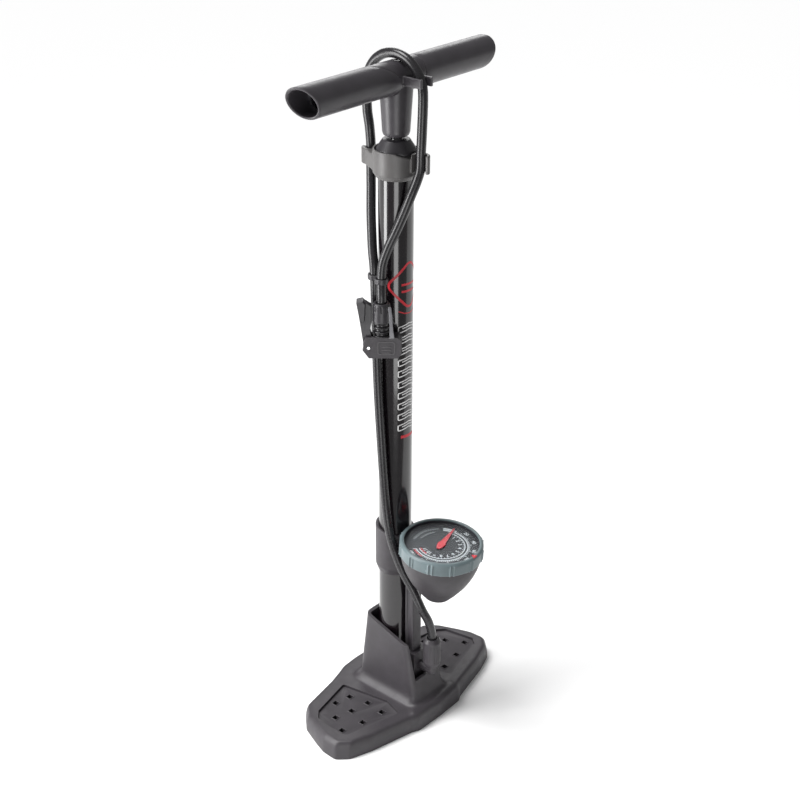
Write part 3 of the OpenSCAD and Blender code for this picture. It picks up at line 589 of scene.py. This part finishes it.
def build_barrel():
    """The painted tube, and plain marks printed on it."""
    wall = [(BARREL_R, BARREL_Z0 + (BARREL_Z1 - BARREL_Z0) * k / 12) for k in range(13)]
    profile = [(BARREL_BORE, BARREL_Z0)] + wall + [(BARREL_BORE, BARREL_Z1)]
    tube = lathe("barrel_tube", profile, 128, closed=True)
    place_on(tube, paint, "root", "barrel", slot="black_paint")
    ink("mark_diamond", rounded([(24, 491), (0, 516), (-24, 491), (0, 466)], 7, 8), 2.4, red_ink, closed=True)
    ink("mark_curve", [(-12, 465), (-6, 462.4), (0, 461.5), (6, 462.4), (12, 465)], 1.1, red_ink)
    ink("mark_dash_a", [(-9, 485), (9, 485)], 2.2, red_ink)
    ink("mark_dash_b", [(-9, 492), (9, 492)], 2.2, red_ink)
    for k in range(10):
        z = 335 + 11.9 * k
        shape = [(-12, z), (0, z + 3), (12, z), (12, z + 6), (0, z + 9), (-12, z + 6)]
        ink(f"mark_chevron_{k}", rounded(shape, 1.2, 3), 1.1, white_ink, closed=True)
        ink(f"mark_stroke_{k}", [(-8, z + 4.4), (0, z + 6.2), (8, z + 4.4)], 1.0, white_ink)
    ink("mark_small", [(-9, 328), (9, 328)], 3.2, red_ink)


# ---- Gauge -----------------------------------------------------------------------------------------

# The place and tilt of the gauge, whose own Z points out of the dial.
GAUGE = Matrix.Translation((0, -62.8, 222)) @ Matrix.Rotation(math.radians(4), 4, "X")
# Height of the dial, and of the lower and upper faces of what is printed on it.
DIAL_Z = -5.4
MARK_LOW, MARK_TOP = DIAL_Z - 0.02, DIAL_Z + 0.04
# Direction where the scale starts, and how far it runs, in degrees.
SCALE_START, SCALE_SPAN = 18, 230


def arc_mark(r0, r1, a0, a1):
    """A flat curved bar on the dial, between two radii and two angles in degrees."""
    steps = max(2, int(abs(a1 - a0) / 3))
    rings = []
    for k in range(steps + 1):
        a = math.radians(a0 + (a1 - a0) * k / steps)
        section = ((r0, MARK_LOW), (r1, MARK_LOW), (r1, MARK_TOP), (r0, MARK_TOP))
        rings.append([(r * math.cos(a), r * math.sin(a), z) for r, z in section])
    return loft("arc", rings, place=GAUGE)


def joined(name, parts, colour):
    """Several small solids on the dial as one piece."""
    work = bmesh.new()
    for part in parts:
        work.from_mesh(part.data)
        bpy.data.objects.remove(part)
    mesh = bpy.data.meshes.new(name)
    work.to_mesh(mesh)
    work.free()
    ob = bpy.data.objects.new(name, mesh)
    scene.collection.objects.link(ob)
    return place_on(shade(ob), colour, "root", slot="dial_black")


def number(text, size, radius, angle):
    """A number that stands on the dial with its top outwards."""
    curve = bpy.data.curves.new("number", "FONT")
    curve.body, curve.size, curve.extrude, curve.offset = text, size, 0.03, 0.14
    curve.align_x, curve.align_y = "CENTER", "CENTER"
    ob = bpy.data.objects.new("number", curve)
    scene.collection.objects.link(ob)
    bpy.context.view_layer.update()
    mesh = bpy.data.meshes.new_from_object(ob.evaluated_get(bpy.context.evaluated_depsgraph_get()))
    bpy.data.objects.remove(ob)
    a = math.radians(angle)
    at = Matrix.Translation((radius * math.cos(a), radius * math.sin(a), DIAL_Z + 0.02))
    mesh.transform(Matrix.Scale(MM, 4) @ GAUGE @ at @ Matrix.Rotation(a - math.pi / 2, 4, "Z"))
    made = bpy.data.objects.new("number", mesh)
    scene.collection.objects.link(made)
    return made


def build_gauge():
    """The bezel, the bowl, what is printed on the dial, and the cap of the needle."""
    soft_copy("gauge_bezel", 0.55, 3, bezel_blue, "bezel", "bezel_grey")
    profile = [
        (0.01, -73), (4, -72.7), (7, -72), (11, -70), (14, -68), (21.5, -59), (30, -47), (33.8, -40),
        (37, -33), (39.4, -26), (40.8, -20), (40.8, -2.4), (40.5, -2.2), (39.3, -2.2), (39.2, -2.5),
        (39.2, -6.4), (36, -6.5), (36, -20), (33, -34), (26.5, -47), (18.5, -57), (11, -65.5), (0.01, -68),
    ]
    bowl = lathe("gauge_bowl", profile, 128, place=GAUGE, angle=30)
    place_on(bowl, charcoal, "root", "gauge_housing", slot="charcoal_plastic")
    white, red, pale = [], [], []
    for r in (24.0, 27.0):
        white.append(arc_mark(r - 0.5, r + 0.5, SCALE_START + 4, -212))
    white.append(arc_mark(26.2, 28.4, 8, 36))
    white.append(arc_mark(29.0, 31.2, 8, 36))
    for k in range(56):
        a = SCALE_START - SCALE_SPAN * k / 55
        long = k % 5 == 0
        white.append(arc_mark(27.3, 31 if long else 29.4, a - 0.9, a + 0.9))
        if k % 2 == 0:
            white.append(arc_mark(21.9, 23.8, a - 0.9, a + 0.9))
    for k in range(1, 12):
        white.append(number(str(k), 5.4, 18.8, SCALE_START - SCALE_SPAN * k / 11.5))
    for k in range(1, 9):
        white.append(number(str(20 * k), 5.6, 34, SCALE_START - SCALE_SPAN * k / 8.4))
    red.append(arc_mark(28.3, 30.3, 150, 177))
    red.append(arc_mark(21.4, 23.2, 148, 177))
    for k in range(14):
        a = 46 + 5 * k
        pale.append(arc_mark(27.5, 30.2, a, a + 2.6))
    for k in range(6):
        pale.append(arc_mark(22.4, 24.4, 58 + 8 * k, 63 + 8 * k))
    joined("dial_marks", white, white_ink)
    joined("dial_zone", red, red_ink)
    joined("dial_faint", pale, faded_ink)
    profile = [(0.01, -5.0), (4.1, -5.0), (4.1, -4.0), (3.4, -3.72), (0.01, -3.72)]
    hub = lathe("needle_cap", profile, 48, place=GAUGE)
    place_on(hub, needle_red, "needle", slot="marker_red")


# ---- Grips and pump head ---------------------------------------------------------------------------

# Outer and inner radius of a grip, and the height of its axis.
GRIP_R, TUBE_R, GRIP_Z = 15.5, 12.8, 689.0


def grip(name, x_in, x_out, node):
    """A grip between two slanted ends, with a rounded outer rim. x_in and x_out give x at (y, z)."""
    rim = [math.radians(90 - 18 * k) for k in range(11)]
    steps = [("in", 0.0, TUBE_R), ("in", 0.0, GRIP_R - 0.5), ("in", 0.15, GRIP_R - 0.15), ("in", 0.5, GRIP_R)]
    steps += [(k / 12, 0, GRIP_R) for k in range(1, 12)]
    middle, half = (GRIP_R + TUBE_R) / 2, (GRIP_R - TUBE_R) / 2
    steps += [("out", half * math.cos(b) - half, middle + half * math.sin(b)) for b in rim]
    steps += [(k / 12, 0, TUBE_R) for k in range(11, 0, -1)]
    rings = []
    for where, push, r in steps:
        ring = []
        for c, s in around(96):
            y, z = r * c, r * s
            a, b = x_in(y, z), x_out(y, z)
            sign = 1 if b > a else -1
            if where == "in":
                x = a + sign * push
            elif where == "out":
                x = b + sign * push
            else:
                x = a + (b - a) * where
            ring.append((x, y, GRIP_Z + z))
        rings.append(ring)
    return place_on(loft(name, rings, True), grip_black, "handle", node, slot="charcoal_plastic")


def dress(node, look):
    """A better material on a CAD node that keeps its shape."""
    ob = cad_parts[node]
    ob.data.materials.clear()
    ob.data.materials.append(look)


# The place and turn of the pump head.
HEAD = Matrix.Translation((-28.5, -6.7, 0)) @ Matrix.Rotation(math.radians(-49.4), 4, "Z")


def build_head_details():
    """The tongue beside the hose nut, and the raised rims and small bars of the side plates."""
    spine = [(7.9, 444.9), (7.7, 452), (7.6, 460), (7.2, 468), (6.2, 477)]
    widths = [4.6, 3.6, 3.1, 3.1, 2.9]
    rings = []
    for (x, z), w in zip(spine, widths):
        rings.append([(x + dx, -8.9 + dy, z) for dx, dy in ((0, -0.9), (w, -0.4), (w, 0.9), (0, 0.9))])
    tongue = soften(loft("lock_tongue", rings, place=HEAD), 0.3, 3)
    place_on(tongue, tongue_grey, "root", slot="charcoal_plastic")
    for side, y in (("front", -7.9), ("back", 7.3)):
        outline = rounded([(-4, 427), (13, 427), (13, 441), (-4, 441)], 3)
        inside = rounded([(-3, 428), (12, 428), (12, 440), (-3, 440)], 2.2)
        loops = ((outline, 0), (outline, 0.6), (inside, 0.6), (inside, 0))
        rim = [[(x, y + d, z) for x, z in o] for o, d in loops]
        place_on(loft("head_panel_" + side, rim, True, HEAD), charcoal, "root", slot="charcoal_plastic")
    for k in range(3):
        z = 428.5 + 3.2 * k
        bar = prism(f"head_bar_{k}", rounded([(0, z), (9, z), (9, z + 1.1), (0, z + 1.1)], 0.4), 7.3, 7.9,
                    HEAD @ Matrix.Rotation(math.radians(90), 4, "X"))
        place_on(bar, charcoal, "root", slot="charcoal_plastic")


# ---- All pieces ------------------------------------------------------------------------------------

build_head_details()
build_base()
build_pads()
build_barrel()
build_gauge()
grip("grip_right_skin", lambda y, z: 24.05, lambda y, z: 122 - 0.3 * y + 0.4218 * z, "grip_right")
grip(
    "grip_left_skin", lambda y, z: -(28.6 + 1.192 * y + 0.551 * z),
    lambda y, z: -(122 + 0.3 * y + 0.4218 * z), "grip_left",
)
soft_copy("handle_hub", 0.6, 4, grip_black, "handle", "charcoal_plastic")
soft_copy("top_cap", 0.6, 5, cap_grey, "root", "cap_plastic")
soft_copy("gland_nut", 0.45, 4, nut_black, "root", "dark_plastic")
soft_copy("gauge_bracket", 0.6, 4, charcoal, "root", "charcoal_plastic")
soft_copy("hose_nut", 0.4, 4, charcoal, "root", "charcoal_plastic")
soft_copy("outlet_elbow", 0.4, 4, charcoal, "root", "charcoal_plastic")
soft_copy("hose_clip", 0.35, 3, nut_black, "root", "dark_plastic")
soft_copy("head_nut", 0.35, 3, nut_black, "root", "dark_plastic")
soft_copy("head_boot", 0.3, 3, hose_black, "root", "hose_rubber")
soft_copy("head_body", 0.35, 4, charcoal, "root", "charcoal_plastic")
soft_copy("head_lever", 0.35, 4, nut_black, "lever", "dark_plastic")
for name, look in (
    ("base_screws", steel), ("barrel_plug", nut_black), ("plug_seal", seal_black), ("check_ball", steel),
    ("check_spring", steel), ("gauge_pipe", brass), ("bourdon_tube", brass), ("gauge_plate", brass),
    ("sector_gear", brass), ("needle_shaft", steel), ("gauge_needle", needle_red), ("gauge_dial", dial_black),
    ("gauge_lens", lens), ("bezel_marker", red_ink), ("rod_bushing", acetal), ("piston_rod", chrome),
    ("piston", nut_black), ("piston_seal", seal_black), ("piston_nut", steel), ("rebound_bumper", seal_black),
    ("handle_tube", steel), ("handle_bolt", nut_black), ("valve_gasket", seal_black),
    ("head_plunger", acetal), ("lever_pin", steel),
):
    dress(name, look)
